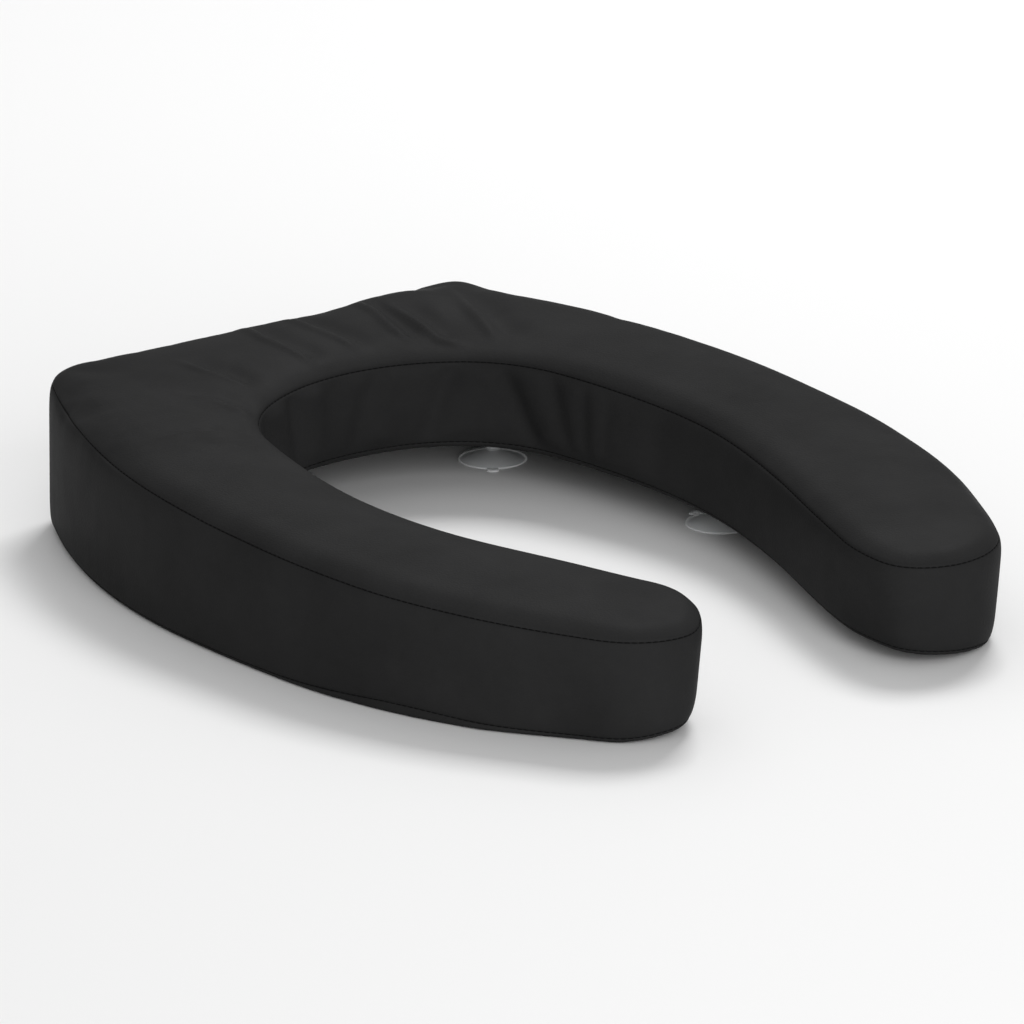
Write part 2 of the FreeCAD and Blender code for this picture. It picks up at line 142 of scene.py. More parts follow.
# ---- small helpers ------------------------------------------------------------------------
def mesh_object(name, points, faces):
    mesh = bpy.data.meshes.new(name)
    mesh.from_pydata([tuple(point) for point in points], [], faces)
    mesh.shade_smooth()
    piece = bpy.data.objects.new(name, mesh)
    bpy.context.scene.collection.objects.link(piece)
    return piece


def positions(mesh):
    places = np.empty(len(mesh.vertices) * 3)
    mesh.vertices.foreach_get("co", places)
    return places.reshape(-1, 3)


def normals(mesh):
    found = np.empty(len(mesh.vertices) * 3)
    mesh.vertices.foreach_get("normal", found)
    return found.reshape(-1, 3)


def set_positions(mesh, places):
    mesh.vertices.foreach_set("co", places.ravel())
    mesh.update()


def apply_modifiers(piece):
    """Replaces a piece's mesh by what its modifiers make of it."""
    graph = bpy.context.evaluated_depsgraph_get()
    mesh = bpy.data.meshes.new_from_object(piece.evaluated_get(graph))
    piece.modifiers.clear()
    piece.data = mesh


def smooth_step(values):
    values = np.clip(values, 0, 1)
    return values * values * (3 - 2 * values)


def rolled(distance, width):
    """0 at the seam, rising steeply and levelling off at 1 a width away."""
    return 1 - (1 - np.clip(distance / width, 0, 1)) ** 2.2


def smooth_over(values, edges, rounds):
    """Values at the points of a mesh, each evened out with its neighbours'."""
    first, last = edges.T
    count = np.bincount(edges.ravel(), minlength=len(values))
    for _ in range(rounds):
        total = np.stack([
            np.bincount(first, values[last, axis], len(values))
            + np.bincount(last, values[first, axis], len(values))
            for axis in range(3)
        ], axis=1)
        values = (values + total / count[:, None]) / 2
    return values


# ---- the plan outline, read from the frame ------------------------------------------------
def top_edge_loop():
    """The top panel's edge in plan, anticlockwise seen from above."""
    shell = bmesh.new()
    shell.from_mesh(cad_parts["top_panel"].data)
    bmesh.ops.remove_doubles(shell, verts=shell.verts, dist=1e-6)
    lid = {face for face in shell.faces if face.normal.z > 0.9}
    links = {}
    for edge in shell.edges:
        if sum(face in lid for face in edge.link_faces) == 1:
            first, last = edge.verts
            links.setdefault(first, []).append(last)
            links.setdefault(last, []).append(first)
    start = next(iter(links))
    loop = [start, links[start][0]]
    while True:
        following = [vert for vert in links[loop[-1]] if vert is not loop[-2]][0]
        if following is start:
            break
        loop.append(following)
    points = np.array([(vert.co.x, vert.co.y) for vert in loop])
    shell.free()
    after = np.roll(points, -1, axis=0)
    if np.sum(points[:, 0] * after[:, 1] - after[:, 0] * points[:, 1]) < 0:
        points = points[::-1]
    return points


def walk(points, count):
    """count points, evenly spaced from the first point on, leaving out the last."""
    steps = np.linalg.norm(np.diff(points, axis=0), axis=1)
    along = np.concatenate([[0], np.cumsum(steps)])
    wanted = np.linspace(0, along[-1], count + 1)[:-1]
    return np.stack([np.interp(wanted, along, points[:, axis]) for axis in (0, 1)], axis=1)


def seam_outline():
    """Evenly spaced seam points: first along the zip's slot, then all the way round."""
    loop = top_edge_loop()
    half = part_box("zip_tape_upper")[1].x
    rear = loop[:, 1].max()
    on_rear = np.where(loop[:, 1] > rear - 0.01 * MM)[0]
    corner = on_rear[np.argmin(loop[on_rear, 0])]
    loop = np.roll(loop, -corner, axis=0)
    keep = (loop[:, 1] < rear - 0.01 * MM) | (abs(loop[:, 0]) > half)
    rest = np.concatenate([[(-half, rear)], loop[keep], [(half, rear)]])
    length = np.sum(np.linalg.norm(np.diff(rest, axis=0), axis=1))
    slot = walk(np.array([(half, rear), (-half, rear)]), SLOT_STEPS)
    return np.concatenate([slot, walk(rest, round(length / SKIN_STEP))])


SEAM = seam_outline()
COUNT = len(SEAM)
AHEAD = np.roll(SEAM, -1, axis=0)
TANGENT = AHEAD - np.roll(SEAM, 1, axis=0)
TANGENT /= np.linalg.norm(TANGENT, axis=1)[:, None]
OUTWARD = np.stack([TANGENT[:, 1], -TANGENT[:, 0]], axis=1)
REAR_Y = SEAM[:, 1].max()
STEP_LENGTHS = np.linalg.norm(AHEAD - SEAM, axis=1)


def nearest_on_seam(places):
    """Distance to the seam in plan, and where along it, as a fractional index."""
    distance = np.empty(len(places))
    index = np.empty(len(places))
    along = AHEAD - SEAM
    for start in range(0, len(places), 2000):
        part = places[start:start + 2000, None, :2] - SEAM[None]
        share = np.clip((part * along).sum(2) / (STEP_LENGTHS ** 2), 0, 1)
        gap = np.linalg.norm(part - share[..., None] * along, axis=2)
        best = gap.argmin(1)
        rows = np.arange(len(best))
        distance[start:start + 2000] = gap[rows, best]
        index[start:start + 2000] = best + share[rows, best]
    return distance, index


def inside_plan(places):
    crossings = np.zeros(len(places), int)
    for (x0, y0), (x1, y1) in zip(SEAM, AHEAD):
        if y0 == y1:
            continue
        spans = (places[:, 1] > min(y0, y1)) & (places[:, 1] <= max(y0, y1))
        x = x0 + (places[:, 1] - y0) * (x1 - x0) / (y1 - y0)
        crossings += spans & (x > places[:, 0])
    return crossings % 2 == 1


def inner_stretch():
    """Which seam points lie round the opening, and their distance along it from its rear."""
    left_tip = min(range(COUNT), key=lambda i: SEAM[i, 1] if SEAM[i, 0] < 0 else 1)
    right_tip = min(range(COUNT), key=lambda i: SEAM[i, 1] if SEAM[i, 0] > 0 else 1)
    numbers = np.arange(COUNT)
    inner = (numbers > left_tip) & (numbers < right_tip)
    travelled = np.concatenate([[0], np.cumsum(STEP_LENGTHS)[:-1]])
    middle = numbers[inner][np.argmin(abs(SEAM[inner, 0]))]
    return inner, travelled - travelled[middle]


INNER, FROM_MIDDLE = inner_stretch()


def hand_plan(places):
    """Plan in millimetres with y measured from the rear edge, as the shaping tables are."""
    return (places[:, :2] - [0, REAR_Y]) / MM


def bump(places, centre, reach):
    """1 at a place in plan, falling smoothly to nothing round it."""
    gap = np.linalg.norm(hand_plan(places) - centre, axis=1)
    return np.exp(-(gap / reach) ** 2)


# ---- heights, read from the frame ---------------------------------------------------------
def top_plane():
    """Height of the top panel at y = 0, and its slope."""
    low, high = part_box("top_panel")
    places = positions(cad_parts["top_panel"].data)
    front = places[places[:, 1] < low.y + 1 * MM, 2].max()
    slope = (high.z - front) / (high.y - low.y)
    return high.z - slope * high.y, slope


TOP_LEVEL, TOP_SLOPE = top_plane()
UNDERSIDE = BVHTree.FromObject(
    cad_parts["bottom_panel"], bpy.context.evaluated_depsgraph_get()
)


def top_height(y):
    return TOP_LEVEL + TOP_SLOPE * y


def underside_height(places):
    """Height of the bottom panel's outer face; points over an eyelet take their neighbours'."""
    heights = np.full(len(places), np.nan)
    for number, (x, y) in enumerate(places[:, :2]):
        hit = UNDERSIDE.ray_cast(Vector((x, y, -0.1)), Vector((0, 0, 1)))[0]
        if hit is not None and abs(UNDERSIDE.find_nearest(hit)[1].z) > 0.3:
            heights[number] = hit.z
    known = ~np.isnan(heights)
    for number in np.where(~known)[0]:
        gaps = np.linalg.norm(places[known, :2] - places[number, :2], axis=1)
        near = np.argsort(gaps)[:12]
        heights[number] = np.average(heights[known][near], weights=1 / gaps[near])
    return heights


# ---- the skin -----------------------------------------------------------------------------
CUPS = ["suction_cup_side_right", "suction_cup_side_left",
        "suction_cup_rear_right", "suction_cup_rear_left"]
EYELET_RADIUS = 4.4 * MM
EYELET_RINGS = [EYELET_RADIUS, 6.2 * MM, 8.4 * MM, 11.0 * MM]
EYELET_SIDES = 24


def cup_centre(name):
    """Axis of a suction cup in plan: the middle of the top of its mushroom head."""
    places = positions(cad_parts[name].data)
    crest = places[places[:, 2] > places[:, 2].max() - 0.6 * MM]
    return (crest.min(0)[:2] + crest.max(0)[:2]) / 2


CUP_CENTRES = [cup_centre(name) for name in CUPS]


def plan_grid(with_eyelets):
    """Plan of a panel: points, the seam's first, and faces. Quads run beside the seam."""
    rows = [SEAM] + [SEAM - OUTWARD * row for row in EDGE_ROWS]
    faces = []
    for row in range(len(EDGE_ROWS)):
        for number in range(COUNT):
            after = (number + 1) % COUNT
            outer, inner = row * COUNT, (row + 1) * COUNT
            faces.append((outer + number, outer + after, inner + after, inner + number))
    reach = np.abs(SEAM).max() + GRID_STEP
    xs = np.arange(-reach, reach, GRID_STEP)
    ys = np.arange(-reach, reach, GRID_STEP * math.sqrt(3) / 2)
    grid = np.array([
        (x + (number % 2) * GRID_STEP / 2, y) for number, y in enumerate(ys) for x in xs
    ])
    grid = grid[inside_plan(grid)]
    grid = grid[nearest_on_seam(grid)[0] > EDGE_ROWS[-1] + 0.6 * GRID_STEP]
    if with_eyelets:
        turn = np.arange(EYELET_SIDES) * 2 * math.pi / EYELET_SIDES
        circle = np.stack([np.cos(turn), np.sin(turn)], axis=1)
        for centre in CUP_CENTRES:
            clear = np.linalg.norm(grid - centre, axis=1) > EYELET_RINGS[-1] + 0.5 * GRID_STEP
            grid = np.concatenate([grid[clear]] + [centre + r * circle for r in EYELET_RINGS])
    middle = np.concatenate([rows[-1], grid])
    edges = [(number, (number + 1) % COUNT) for number in range(COUNT)]
    found = geometry.delaunay_2d_cdt([Vector(point) for point in middle], edges, [], 1, 1e-9)
    first = COUNT * len(EDGE_ROWS)
    for face in found[2]:
        faces.append(tuple(first + found[3][corner][0] for corner in face))
    return np.concatenate(rows[:-1] + [middle]), faces


def wall_fractions():
    """Heights of the wall's middle rows, as shares, with two rows on the slot's edges."""
    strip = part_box("rear_strip_lower")
    low = strip[0].z + WALL_ROWS[-1]
    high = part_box("rear_strip_upper")[1].z - WALL_ROWS[-1]
    lower = (strip[1].z - low) / (high - low)
    upper = (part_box("rear_strip_upper")[0].z - low) / (high - low)
    return np.concatenate([
        np.linspace(0, lower, ROWS_BELOW_SLOT + 1)[:-1],
        np.linspace(lower, upper, ROWS_IN_SLOT + 1)[:-1],
        np.linspace(upper, 1, ROWS_ABOVE_SLOT + 1),
    ])


def seam_levels():
    """Heights of the bottom and top seams at every seam point."""
    foot = underside_height(SEAM - OUTWARD * 0.5 * MM) + FOOT_HEIGHT
    foot += FOOT_SAG * bump(SEAM, FOOT_SAG_PLACE, FOOT_SAG_REACH)
    return foot, top_height(SEAM[:, 1])


SEAM_FOOT, SEAM_TOP = seam_levels()


def wall_rows():
    """Rows of the wall, bottom seam to top seam, each as points all the way round."""
    rows = []
    inner_low = SEAM_FOOT + WALL_ROWS[-1]
    inner_high = SEAM_TOP - WALL_ROWS[-1]
    levels = [SEAM_FOOT] + [SEAM_FOOT + row for row in WALL_ROWS[:-1]]
    levels += [inner_low + share * (inner_high - inner_low) for share in wall_fractions()]
    levels += [SEAM_TOP - row for row in reversed(WALL_ROWS[:-1])] + [SEAM_TOP]
    for level in levels:
        to_seam = np.minimum(level - SEAM_FOOT, SEAM_TOP - level)
        bulge = (WALL_BULGE + WALL_INSET) * rolled(to_seam, WALL_SHOULDER) - WALL_INSET
        bulge[:SLOT_STEPS + 1] = np.minimum(bulge[:SLOT_STEPS + 1], 0)
        rows.append(np.column_stack([SEAM + OUTWARD * bulge[:, None], level]))
    return rows


def shape_tips(points):
    """The tips as they are sewn: leaning in to the foot, and not quite alike."""
    distance, index = nearest_on_seam(points)
    outward = OUTWARD[index.astype(int) % COUNT]
    plan = hand_plan(points)
    depth = np.clip(1 - points[:, 2] / top_height(points[:, 1]), 0, 1)
    at_tip = smooth_step((TIP_TAPER_START - plan[:, 1]) / TIP_TAPER_REACH)
    at_edge = 1 - smooth_step(distance / TIP_TAPER_DEPTH)
    under_seam = (points[:, 2] < FOOT_HEIGHT) & (distance < 8 * MM) & (distance > 0.1 * MM)
    sag = FOOT_BULGE * under_seam * bump(points, FOOT_SAG_PLACE, FOOT_SAG_REACH * 1.5)
    shaped = points.copy()
    shaped[:, :2] += outward * (sag - TIP_TAPER * MM * depth * at_tip * at_edge)[:, None]
    for centre, reach, move in TIP_PUSHES:
        shaped[:, :2] += bump(points, centre, reach)[:, None] * np.array(move) * MM
    return shaped


def build_skin():
    """The whole closed skin: points, faces sorted by panel, and the top panel's point count."""
    top_plan, top_faces = plan_grid(False)
    under_plan, under_faces = plan_grid(True)
    distance = nearest_on_seam(top_plan)[0]
    crown = CROWN_HEIGHT * rolled(distance, CROWN_WIDTH)
    crown += CROWN_SWELL * smooth_step(distance / SWELL_WIDTH)
    inside = smooth_step(distance / (8 * MM))
    for centre, reach, height in TOP_PUFFS:
        crown += height * MM * inside * bump(top_plan, centre, reach)
    top = np.column_stack([top_plan, top_height(top_plan[:, 1]) + crown])
    distance = nearest_on_seam(under_plan)[0]
    seam_rise = FOOT_HEIGHT + FOOT_SAG * bump(under_plan, FOOT_SAG_PLACE, FOOT_SAG_REACH)
    foot = seam_rise * (1 - rolled(distance, FOOT_WIDTH))
    under = np.column_stack([under_plan, underside_height(under_plan) + foot])
    rows = wall_rows()
    top[:COUNT] = rows[-1]
    under[:COUNT] = rows[0]
    first_row = len(top) + len(under)
    points = shape_tips(np.concatenate([top, under] + rows[1:-1]))

    def corner(row, number):
        number %= COUNT
        if row == len(rows) - 1:
            return number
        if row == 0:
            return len(top) + number
        return first_row + (row - 1) * COUNT + number

    slot_low = len(WALL_ROWS) + ROWS_BELOW_SLOT
    slot_high = slot_low + ROWS_IN_SLOT
    faces = {
        "top_panel": top_faces,
        "bottom_panel": [], "eyelet_discs": [],
        "side_band": [], "rear_strip_lower": [], "slot": [], "rear_strip_upper": [],
    }
    for face in under_faces:
        middle = under[list(face), :2].mean(0)
        gap = min(np.linalg.norm(middle - centre) for centre in CUP_CENTRES)
        panel = "eyelet_discs" if gap < EYELET_RADIUS else "bottom_panel"
        faces[panel].append(tuple(len(top) + number for number in reversed(face)))
    for row in range(len(rows) - 1):
        for number in range(COUNT):
            if number >= SLOT_STEPS:
                panel = "side_band"
            elif row < slot_low:
                panel = "rear_strip_lower"
            elif row < slot_high:
                panel = "slot"
            else:
                panel = "rear_strip_upper"
            faces[panel].append((
                corner(row, number), corner(row, number + 1),
                corner(row + 1, number + 1), corner(row + 1, number),
            ))
    return points, faces, len(top)


def swell(points, faces):
    """The skin after a short cloth simulation under a little pressure."""
    every = [face for panel in faces.values() for face in panel]
    skin = mesh_object("skin", points, every)
    places = points
    under = places[:, 2] < underside_height(places) + 1 * MM
    held = skin.vertex_groups.new(name="held")
    held.add([int(number) for number in np.where(under)[0]], HELD_MASS, "REPLACE")
    cloth = skin.modifiers.new("cloth", "CLOTH")
    settings = cloth.settings
    settings.quality = 5
    settings.mass = 0.4
    settings.tension_stiffness = 40
    settings.compression_stiffness = 30
    settings.shear_stiffness = 20
    settings.bending_stiffness = 3
    settings.use_pressure = True
    settings.uniform_pressure_force = CLOTH_PRESSURE
    settings.effector_weights.gravity = 0
    settings.vertex_group_mass = "held"
    for number in range(1, CLOTH_FRAMES + 1):
        bpy.context.scene.frame_set(number)
    graph = bpy.context.evaluated_depsgraph_get()
    result = positions(skin.evaluated_get(graph).data)
    edges = np.empty(len(skin.data.edges) * 2, np.int32)
    skin.data.edges.foreach_get("vertices", edges)
    bpy.data.objects.remove(skin)
    bpy.context.scene.frame_set(1)
    return result, edges.reshape(-1, 2)


def settle(points, swollen, edges):
    """Keeps the swelling within its cap, smooth on the arms, and off the zip and cups."""
    move = swollen - points
    size = np.linalg.norm(move, axis=1)
    move *= np.minimum(1, CLOTH_CAP / np.maximum(size, 1e-9))[:, None]
    creased = smooth_over(move, edges, SMOOTHING_REAR)
    calm = smooth_over(creased, edges, SMOOTHING_ARMS)
    at_rear = smooth_step((hand_plan(points)[:, 1] + REAR_START) / REAR_REACH)[:, None]
    move = calm + (creased - calm) * at_rear
    tape_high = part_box("zip_tape_upper")[1]
    free = smooth_step((REAR_Y - points[:, 1] - 1 * MM) / (25 * MM))
    free = np.maximum(free, smooth_step((abs(points[:, 0]) - tape_high.x) / (20 * MM)))
    free = np.maximum(free, smooth_step((points[:, 2] - tape_high.z + 5 * MM) / (15 * MM)))
    for centre in CUP_CENTRES:
        gap = np.linalg.norm(points[:, :2] - centre, axis=1)
        low = points[:, 2] < 0.03
        free = np.where(low, free * smooth_step((gap - 9 * MM) / (15 * MM)), free)
    moved = points + move * free[:, None]
    behind = abs(points[:, 0]) < tape_high.x + 5 * MM
    moved[behind, 1] = np.minimum(moved[behind, 1], REAR_Y + 0.5 * MM)
    moved[:, 2] = np.maximum(moved[:, 2], 0.05 * MM)
    return moved


# ---- panels -------------------------------------------------------------------------------
def cut_panel(name, points, faces):
    """One panel of the skin as its own mesh, with only the points that it uses."""
    used = sorted({corner for face in faces for corner in face})
    renumber = {old: new for new, old in enumerate(used)}
    return mesh_object(
        name, points[used], [tuple(renumber[corner] for corner in face) for face in faces]
    )


def refine(piece):
    divide = piece.modifiers.new("divide", "SUBSURF")
    divide.levels = 1
    divide.render_levels = 1
    apply_modifiers(piece)


def thicken(piece):
    shell = piece.modifiers.new("shell", "SOLIDIFY")
    shell.thickness = CLOTH_THICKNESS
    shell.offset = -1
    apply_modifiers(piece)
    piece.data.shade_smooth()


def fold_profile(across, width):
    """A fine crest with a broader trough beside it."""
    crest = np.exp(-(across / width) ** 2)
    trough = np.exp(-((across - TROUGH_OFFSET * width) / (TROUGH_WIDTH * width)) ** 2)
    return FOLD_CREST * crest - FOLD_TROUGH * trough


def line_coordinates(places, corners):
    """Signed distance across a line of points, and the share of the way along it."""
    corners = np.array(corners)
    steps = np.linalg.norm(np.diff(corners, axis=0), axis=1)
    starts = np.concatenate([[0], np.cumsum(steps)])
    best = np.full(len(places), np.inf)
    across = np.zeros(len(places))
    share = np.zeros(len(places))
    for number, step in enumerate(steps):
        way = (corners[number + 1] - corners[number]) / step
        offset = places - corners[number]
        along = offset @ way
        side = offset[:, 0] * way[1] - offset[:, 1] * way[0]
        held = np.clip(along, 0, step)
        gap = np.hypot(along - held, side)
        closer = gap < best
        best = np.where(closer, gap, best)
        across = np.where(closer, np.sign(side) * gap, across)
        share = np.where(closer, (starts[number] + held) / starts[-1], share)
    return across, share


def crease_top(piece):
    places = positions(piece.data)
    plan = hand_plan(places)
    lift = np.zeros(len(places))
    for corners, width, height in TOP_FOLDS:
        across, share = line_coordinates(plan, corners)
        fade = smooth_step(share / 0.2) * smooth_step((1 - share) / 0.4)
        lift += FOLD_DEPTH * height * MM * fade * fold_profile(across, width)
    distance = nearest_on_seam(places)[0]
    lift *= smooth_step(distance / FOLD_EDGE)
    lift *= smooth_step((-plan[:, 1] - FOLD_REAR_START) / FOLD_REAR_REACH)
    set_positions(piece.data, places + normals(piece.data) * lift[:, None])


def crease_wall(piece):
    places = positions(piece.data)
    distance, index = nearest_on_seam(places)
    whole = index.astype(int) % COUNT
    low = np.interp(index, np.arange(COUNT), SEAM_FOOT)
    high = np.interp(index, np.arange(COUNT), SEAM_TOP)
    height = np.clip((places[:, 2] - low) / (high - low), 0, 1)
    along = np.interp(index, np.arange(COUNT), FROM_MIDDLE) / MM
    depth = np.zeros(len(places))
    for at_top, at_foot, width, amount in WALL_FOLDS:
        centre = at_foot + (at_top - at_foot) * height
        depth += amount * MM * fold_profile(along - centre, width)
    depth *= smooth_step((1 - height) / 0.16) * smooth_step(height / 0.22) * INNER[whole]
    set_positions(piece.data, places - normals(piece.data) * depth[:, None])


def seam_numbers(top_count):
    """The points of the top seam and of the bottom one, each with the way that it faces."""
    return (slice(0, COUNT), 1), (slice(top_count, top_count + COUNT), -1)


def sink_seams(points, top_count):
    """Draws the skin in along both seams, so that it rolls over into a fine groove."""
    sunk = points.copy()
    for numbers, tilt in seam_numbers(top_count):
        inward = np.column_stack([-OUTWARD, np.full(COUNT, -tilt)]) / math.sqrt(2)
        sunk[numbers] += inward * SEAM_DEPTH
    return sunk


# ---- materials ----------------------------------------------------------------------------
def new_material(name):
    material = bpy.data.materials.new(name)
    material.use_nodes = True
    tree = material.node_tree
    return material, tree, tree.nodes["Principled BSDF"]


def add_node(tree, kind, **values):
    node = tree.nodes.new(kind)
    for key, value in values.items():
        if key in node.inputs:
            node.inputs[key].default_value = value
        else:
            setattr(node, key, value)
    return node


def colour_ramp(tree, source, stops):
    ramp = tree.nodes.new("ShaderNodeValToRGB")
    ramp.color_ramp.elements[0].position = stops[0][0]
    ramp.color_ramp.elements[0].color = (*stops[0][1], 1)
    ramp.color_ramp.elements[1].position = stops[-1][0]
    ramp.color_ramp.elements[1].color = (*stops[-1][1], 1)
    tree.links.new(source, ramp.inputs["Fac"])
    return ramp.outputs["Color"]


def vinyl_material():
    """Black vinyl-coated fabric: fine grain, a soft satin and faint handling marks."""
    material, tree, shader = new_material("cover_vinyl")
    space = tree.nodes.new("ShaderNodeTexCoord").outputs["Object"]
    cloud = add_node(tree, "ShaderNodeTexNoise", Scale=18.0, Detail=4.0, Roughness=0.6)
    tree.links.new(space, cloud.inputs["Vector"])
    dark, pale = (0.0170, 0.0170, 0.0172), (0.0225, 0.0225, 0.0227)
    base = colour_ramp(tree, cloud.outputs["Fac"], [(0.3, dark), (0.7, pale)])
    tree.links.new(base, shader.inputs["Base Color"])
    grain = add_node(tree, "ShaderNodeTexVoronoi", Scale=950.0)
    grain.feature = "SMOOTH_F1"
    tree.links.new(space, grain.inputs["Vector"])
    fine = add_node(tree, "ShaderNodeTexNoise", Scale=2600.0, Detail=3.0)
    tree.links.new(space, fine.inputs["Vector"])
    first = add_node(tree, "ShaderNodeBump", Strength=0.3, Distance=0.0003)
    tree.links.new(grain.outputs["Distance"], first.inputs["Height"])
    second = add_node(tree, "ShaderNodeBump", Strength=0.2, Distance=0.0001)
    tree.links.new(fine.outputs["Fac"], second.inputs["Height"])
    tree.links.new(first.outputs["Normal"], second.inputs["Normal"])
    tree.links.new(second.outputs["Normal"], shader.inputs["Normal"])
    patches = add_node(tree, "ShaderNodeTexNoise", Scale=45.0, Detail=5.0)
    tree.links.new(space, patches.inputs["Vector"])
    rough = add_node(tree, "ShaderNodeMapRange", **{"To Min": 0.50, "To Max": 0.62})
    tree.links.new(patches.outputs["Fac"], rough.inputs["Value"])
    tree.links.new(rough.outputs["Result"], shader.inputs["Roughness"])
    shader.inputs["IOR"].default_value = 1.09
    shader.inputs["Specular IOR Level"].default_value = 0.4
    return material


def thread_material():
    material, tree, shader = new_material("thread")
    space = tree.nodes.new("ShaderNodeTexCoord").outputs["Object"]
    twist = add_node(tree, "ShaderNodeTexNoise", Scale=2500.0, Detail=2.0)
    tree.links.new(space, twist.inputs["Vector"])
    base = colour_ramp(
        tree, twist.outputs["Fac"], [(0.3, (0.002, 0.002, 0.002)), (0.7, (0.006, 0.006, 0.006))]
    )
    tree.links.new(base, shader.inputs["Base Color"])
    shader.inputs["Specular IOR Level"].default_value = 0.05
    bump = add_node(tree, "ShaderNodeBump", Strength=0.5, Distance=0.0001)
    tree.links.new(twist.outputs["Fac"], bump.inputs["Height"])
    tree.links.new(bump.outputs["Normal"], shader.inputs["Normal"])
    shader.inputs["Roughness"].default_value = 0.75
    return material


def tape_material():
    """Woven polyester zip tape: fine ribs along and across."""
    material, tree, shader = new_material("zip_tape")
    space = tree.nodes.new("ShaderNodeTexCoord").outputs["Object"]
    warp = add_node(tree, "ShaderNodeTexWave", Scale=700.0, Distortion=0.4)
    warp.bands_direction = "X"
    weft = add_node(tree, "ShaderNodeTexWave", Scale=450.0, Distortion=0.4)
    weft.bands_direction = "Z"
    for wave in (warp, weft):
        tree.links.new(space, wave.inputs["Vector"])
    weave = add_node(tree, "ShaderNodeMath", operation="MULTIPLY")
    tree.links.new(warp.outputs["Fac"], weave.inputs[0])
    tree.links.new(weft.outputs["Fac"], weave.inputs[1])
    base = colour_ramp(
        tree, weave.outputs["Value"], [(0.1, (0.006, 0.006, 0.006)), (0.8, (0.022, 0.022, 0.022))]
    )
    tree.links.new(base, shader.inputs["Base Color"])
    bump = add_node(tree, "ShaderNodeBump", Strength=0.6, Distance=0.0002)
    tree.links.new(weave.outputs["Value"], bump.inputs["Height"])
    tree.links.new(bump.outputs["Normal"], shader.inputs["Normal"])
    shader.inputs["Roughness"].default_value = 0.85
    shader.inputs["Sheen Weight"].default_value = 0.2
    return material


def nylon_material():
    material, tree, shader = new_material("zip_nylon")
    space = tree.nodes.new("ShaderNodeTexCoord").outputs["Object"]
    cloud = add_node(tree, "ShaderNodeTexNoise", Scale=400.0, Detail=3.0)
    tree.links.new(space, cloud.inputs["Vector"])
    base = colour_ramp(
        tree, cloud.outputs["Fac"], [(0.3, (0.008, 0.008, 0.008)), (0.7, (0.016, 0.016, 0.016))]
    )
    tree.links.new(base, shader.inputs["Base Color"])
    shader.inputs["Roughness"].default_value = 0.38
    return material


def enamel_material():
    """Black enamelled die-cast metal, a little worn on its corners."""
    material, tree, shader = new_material("zip_metal")
    space = tree.nodes.new("ShaderNodeTexCoord").outputs["Object"]
    scuff = add_node(tree, "ShaderNodeTexNoise", Scale=900.0, Detail=6.0, Roughness=0.7)
    tree.links.new(space, scuff.inputs["Vector"])
    base = colour_ramp(
        tree, scuff.outputs["Fac"], [(0.45, (0.010, 0.010, 0.011)), (0.75, (0.05, 0.05, 0.05))]
    )
    tree.links.new(base, shader.inputs["Base Color"])
    rough = add_node(tree, "ShaderNodeMapRange", **{"To Min": 0.22, "To Max": 0.42})
    tree.links.new(scuff.outputs["Fac"], rough.inputs["Value"])
    tree.links.new(rough.outputs["Result"], shader.inputs["Roughness"])
    shader.inputs["Metallic"].default_value = 0.6
    return material


def steel_material():
    material, tree, shader = new_material("eyelet_steel")
    space = tree.nodes.new("ShaderNodeTexCoord").outputs["Object"]
    scuff = add_node(tree, "ShaderNodeTexNoise", Scale=700.0, Detail=5.0)
    tree.links.new(space, scuff.inputs["Vector"])
    rough = add_node(tree, "ShaderNodeMapRange", **{"To Min": 0.2, "To Max": 0.4})
    tree.links.new(scuff.outputs["Fac"], rough.inputs["Value"])
    tree.links.new(rough.outputs["Result"], shader.inputs["Roughness"])
    shader.inputs["Base Color"].default_value = (0.55, 0.55, 0.53, 1)
    shader.inputs["Metallic"].default_value = 1.0
    return material


def clear_material():
    """Clear soft PVC: glossy, with faint flow marks."""
    material, tree, shader = new_material("clear_pvc")
    space = tree.nodes.new("ShaderNodeTexCoord").outputs["Object"]
    flow = add_node(tree, "ShaderNodeTexNoise", Scale=220.0, Detail=3.0)
    tree.links.new(space, flow.inputs["Vector"])
    bump = add_node(tree, "ShaderNodeBump", Strength=0.08, Distance=0.0003)
    tree.links.new(flow.outputs["Fac"], bump.inputs["Height"])
    tree.links.new(bump.outputs["Normal"], shader.inputs["Normal"])
    shader.inputs["Base Color"].default_value = (0.93, 0.95, 0.96, 1)
    shader.inputs["Roughness"].default_value = 0.12
    shader.inputs["IOR"].default_value = 1.5
    shader.inputs["Alpha"].default_value = 0.5
    return material


def foam_material(name, dark, pale):
    """Open-cell foam: rough and full of fine pores."""
    material, tree, shader = new_material(name)
    space = tree.nodes.new("ShaderNodeTexCoord").outputs["Object"]
    cells = add_node(tree, "ShaderNodeTexVoronoi", Scale=900.0)
    tree.links.new(space, cells.inputs["Vector"])
    base = colour_ramp(tree, cells.outputs["Distance"], [(0.1, dark), (0.6, pale)])
    tree.links.new(base, shader.inputs["Base Color"])
    bump = add_node(tree, "ShaderNodeBump", Strength=0.7, Distance=0.0006)
    tree.links.new(cells.outputs["Distance"], bump.inputs["Height"])
    tree.links.new(bump.outputs["Normal"], shader.inputs["Normal"])
    shader.inputs["Roughness"].default_value = 0.95
    return material


def floor_material():
    material, tree, shader = new_material("floor")
    shader.inputs["Base Color"].default_value = (0.82, 0.82, 0.82, 1)
    shader.inputs["Roughness"].default_value = 0.6
    return material


def dress(piece, material):
    piece.data.materials.clear()
    piece.data.materials.append(material)


